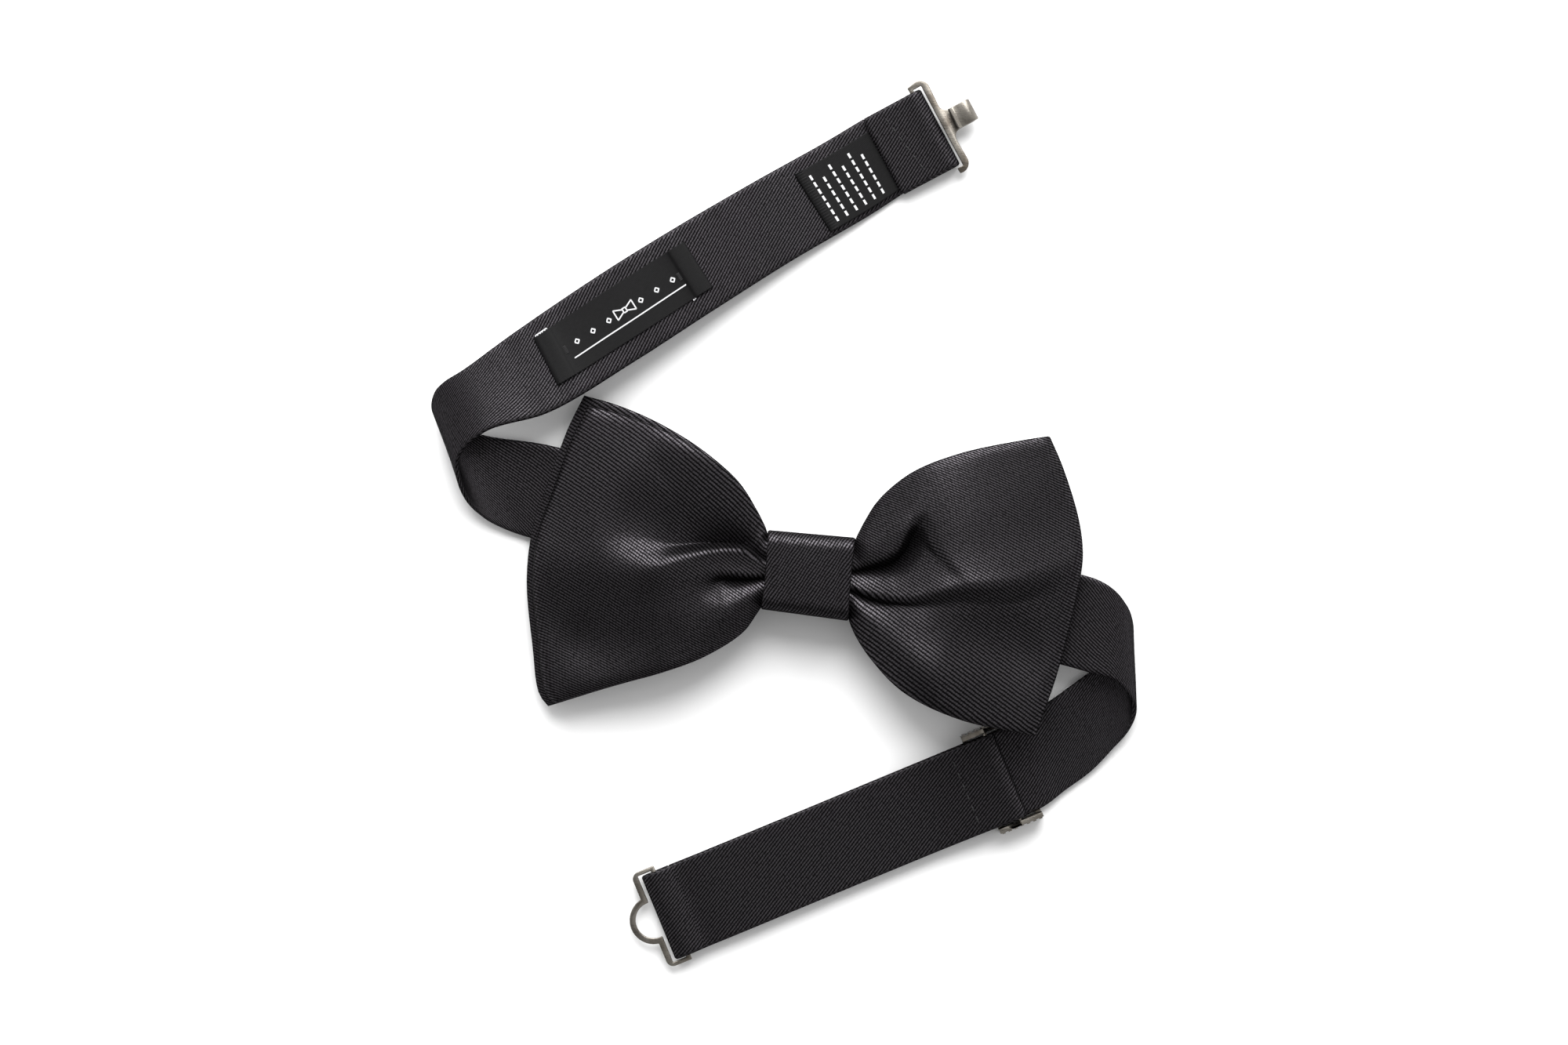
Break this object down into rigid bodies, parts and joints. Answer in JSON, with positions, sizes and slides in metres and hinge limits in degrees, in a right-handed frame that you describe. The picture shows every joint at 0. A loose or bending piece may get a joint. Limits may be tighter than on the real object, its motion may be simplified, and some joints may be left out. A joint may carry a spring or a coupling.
{
  "type": "pre-tied bow tie",
  "caption": "Pre-tied satin bow tie with a pinched two-layer bow, a wrapped knot and an adjustable neckband that closes with a hook and eye.",
  "frame": {"origin": "middle of the flat back of the knot, on the surface that the tie lies on", "axes": "+X along the bow, +Y up the bow, +Z out of its front"},
  "size_m": [0.1569, 0.1948, 0.0193],
  "materials": {
    "satin": "fine twill-backed satin",
    "interlining": "matt non-woven",
    "label": "woven satin ribbon",
    "thread": "polyester sewing thread",
    "steel": "nickel-plated, lightly brushed"
  },
  "bodies": {
    "bow": {"bow_loop": "satin", "bow_stiffener_left": "interlining", "bow_stiffener_right": "interlining", "bow_back_piece": "satin", "bow_binding_thread": "thread", "knot_wrap": "satin", "knot_lining": "interlining", "knot_seam_stitches": "thread", "centre_band": "satin", "left_fold": "satin", "right_fold": "satin"},
    "left_arm": {"left_band": "satin", "hook_end_loop": "satin", "hook_hem_stitches": "thread", "brand_label": "label", "brand_label_tack_left": "thread", "brand_label_tack_right": "thread"},
    "care_flap": {"care_label": "label"},
    "hook": {"hook_plate": "steel"},
    "right_arm": {"right_band": "satin", "sliding_band": "satin"},
    "eye_carriage": {"eye_end_loop": "satin"},
    "eye": {"eye_plate": "steel"},
    "adjuster": {"adjuster_frame": "steel", "adjuster_bar": "steel", "adjuster_end_loop": "satin", "adjuster_hem_stitches": "thread", "return_band": "satin"}
  },
  "joints": [
    {"name": "left_fold_hinge", "type": "hinge", "parent": "bow", "child": "left_arm", "pos_m": [-0.076, 0.0195, 0.0052], "axis": [0.4299, -0.9029, 0], "range_deg": [0, 150], "deforming": ["left_fold"]},
    {"name": "care_label_flap", "type": "hinge", "parent": "left_arm", "child": "care_flap", "pos_m": [0.0078, 0.0912, 0.0018], "axis": [-0.5433, 0.8396, 0], "range_deg": [0, 85]},
    {"name": "hook_tilt", "type": "hinge", "parent": "left_arm", "child": "hook", "pos_m": [0.01838, 0.09771, 0.00205], "axis": [0.5446, -0.8387, 0], "range_deg": [-60, 70]},
    {"name": "right_fold_hinge", "type": "hinge", "parent": "bow", "child": "right_arm", "pos_m": [0.0695, -0.014, 0.0044], "axis": [0.132, -0.9912, 0], "range_deg": [0, 150], "deforming": ["right_fold"]},
    {"name": "eye_slide", "type": "slide", "parent": "right_arm", "child": "eye_carriage", "axis": [-0.887, -0.4617, 0], "range_m": [0, 0.055], "deforming": ["sliding_band"]},
    {"name": "eye_tilt", "type": "hinge", "parent": "eye_carriage", "child": "eye", "pos_m": [-0.02311, -0.07523, 0.00205], "axis": [-0.4617, 0.887, 0], "range_deg": [-60, 70]},
    {"name": "adjuster_slide", "type": "slide", "parent": "eye_carriage", "child": "adjuster", "axis": [-0.887, -0.4617, 0], "range_m": [0, 0.055], "deforming": ["return_band"]}
  ],
  "couplings": [
    {"joint": "adjuster_slide", "follows": "eye_slide", "ratio": 1}
  ]
}
